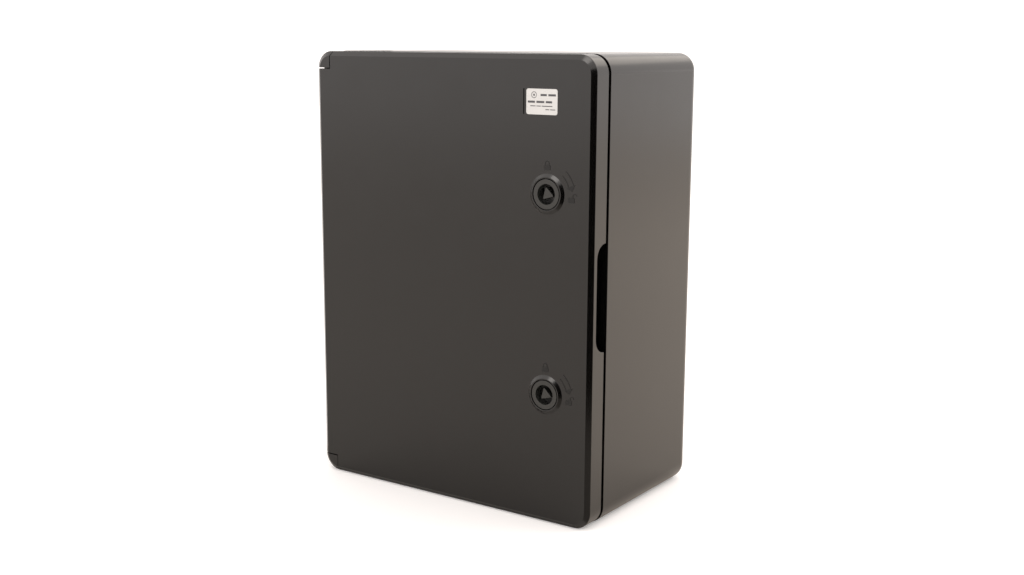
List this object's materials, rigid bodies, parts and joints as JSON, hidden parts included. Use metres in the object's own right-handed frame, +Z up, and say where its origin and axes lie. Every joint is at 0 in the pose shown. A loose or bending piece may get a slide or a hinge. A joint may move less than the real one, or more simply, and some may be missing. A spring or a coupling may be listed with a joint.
{
  "type": "dc combiner box",
  "caption": "Wall-mounted plastic enclosure with a side-hinged door on two key-operated cam locks, holding string fuses, surge protection, an isolator and output terminals.",
  "frame": {"origin": "middle of the underside of the overall box", "axes": "+X to the right seen from the front, +Y from the door towards the back, +Z up"},
  "size_m": [0.3, 0.184, 0.4],
  "materials": {
    "enclosure_black": "satin black moulded plastic",
    "lug_black": "satin black moulded plastic",
    "seal_rubber": "soft black rubber",
    "steel": "zinc plated steel",
    "label_white": "white printed film",
    "zinc_sheet": "galvanised sheet steel",
    "module_grey": "light grey moulded plastic",
    "carrier_grey": "mid grey moulded plastic",
    "cartridge_green": "green moulded plastic",
    "fuse_ceramic": "white ceramic with nickel caps",
    "copper": "bare copper",
    "knob_red": "red moulded plastic",
    "terminal_red": "red moulded plastic",
    "terminal_blue": "blue moulded plastic",
    "terminal_green": "green and yellow moulded plastic",
    "wire_red": "red insulated wire",
    "wire_black": "black insulated wire",
    "wire_green": "green and yellow insulated wire"
  },
  "bodies": {
    "enclosure": {"base": "enclosure_black", "hinge_lug_top": "lug_black", "hinge_lug_bottom": "lug_black", "hinge_pin_top": "steel", "hinge_pin_bottom": "steel", "hinge_lug_screws": "steel", "mounting_plate": "zinc_sheet", "mounting_plate_screws": "steel", "din_rail_upper": "zinc_sheet", "din_rail_lower": "zinc_sheet", "din_rail_screws": "steel", "fuse_holder_1": "module_grey", "fuse_holder_2": "module_grey", "fuse_holder_3": "module_grey", "fuse_holder_4": "module_grey", "fuse_contacts": "copper", "busbar_positive": "copper", "busbar_negative": "copper", "surge_protector_base": "module_grey", "isolator_body": "module_grey", "output_terminal_positive": "terminal_red", "output_terminal_negative": "terminal_blue", "earth_terminal": "terminal_green", "rail_end_clamps": "module_grey", "terminal_screws": "steel", "wires_positive": "wire_red", "wires_negative": "wire_black", "wire_earth": "wire_green", "gland_plate": "enclosure_black", "gland_plate_gasket": "seal_rubber", "gland_plate_screws": "steel", "string_grommets": "seal_rubber", "output_grommets": "seal_rubber"},
    "door_leaf": {"door": "enclosure_black", "door_gasket": "seal_rubber", "rating_label": "label_white", "lock_seal_rings": "seal_rubber"},
    "upper_lock": {"lock_rotor_upper": "lug_black", "lock_retainer_upper": "steel", "lock_cam_upper": "steel", "cam_screw_upper": "steel"},
    "lower_lock": {"lock_rotor_lower": "lug_black", "lock_retainer_lower": "steel", "lock_cam_lower": "steel", "cam_screw_lower": "steel"},
    "isolator_handle": {"isolator_knob": "knob_red", "isolator_shaft": "steel"},
    "carrier_1": {"fuse_carrier_1": "carrier_grey", "fuse_links_1": "fuse_ceramic"},
    "carrier_2": {"fuse_carrier_2": "carrier_grey", "fuse_links_2": "fuse_ceramic"},
    "carrier_3": {"fuse_carrier_3": "carrier_grey", "fuse_links_3": "fuse_ceramic"},
    "carrier_4": {"fuse_carrier_4": "carrier_grey", "fuse_links_4": "fuse_ceramic"},
    "cartridge_1": {"surge_cartridge_1": "cartridge_green"},
    "cartridge_2": {"surge_cartridge_2": "cartridge_green"},
    "cartridge_3": {"surge_cartridge_3": "cartridge_green"}
  },
  "joints": [
    {"name": "door_hinge", "type": "hinge", "parent": "enclosure", "child": "door_leaf", "pos_m": [-0.1425, -0.0825, 0.2], "axis": [0, 0, -1], "range_deg": [0, 180]},
    {"name": "upper_lock_turn", "type": "hinge", "parent": "door_leaf", "child": "upper_lock", "pos_m": [0.105, -0.09, 0.2855], "axis": [0, -1, 0], "range_deg": [0, 90]},
    {"name": "lower_lock_turn", "type": "hinge", "parent": "door_leaf", "child": "lower_lock", "pos_m": [0.105, -0.09, 0.1145], "axis": [0, -1, 0], "range_deg": [0, 90]},
    {"name": "isolator_turn", "type": "hinge", "parent": "enclosure", "child": "isolator_handle", "pos_m": [-0.0695, 0.012, 0.285], "axis": [0, -1, 0], "range_deg": [0, 90]},
    {"name": "carrier_swing_1", "type": "hinge", "parent": "enclosure", "child": "carrier_1", "pos_m": [-0.0902, 0.017, 0.1055], "axis": [1, 0, 0], "range_deg": [0, 90]},
    {"name": "carrier_swing_2", "type": "hinge", "parent": "enclosure", "child": "carrier_2", "pos_m": [-0.0546, 0.017, 0.1055], "axis": [1, 0, 0], "range_deg": [0, 90]},
    {"name": "carrier_swing_3", "type": "hinge", "parent": "enclosure", "child": "carrier_3", "pos_m": [-0.019, 0.017, 0.1055], "axis": [1, 0, 0], "range_deg": [0, 90]},
    {"name": "carrier_swing_4", "type": "hinge", "parent": "enclosure", "child": "carrier_4", "pos_m": [0.0166, 0.017, 0.1055], "axis": [1, 0, 0], "range_deg": [0, 90]},
    {"name": "cartridge_pull_1", "type": "slide", "parent": "enclosure", "child": "cartridge_1", "axis": [0, -1, 0], "range_m": [0, 0.047]},
    {"name": "cartridge_pull_2", "type": "slide", "parent": "enclosure", "child": "cartridge_2", "axis": [0, -1, 0], "range_m": [0, 0.047]},
    {"name": "cartridge_pull_3", "type": "slide", "parent": "enclosure", "child": "cartridge_3", "axis": [0, -1, 0], "range_m": [0, 0.047]}
  ]
}
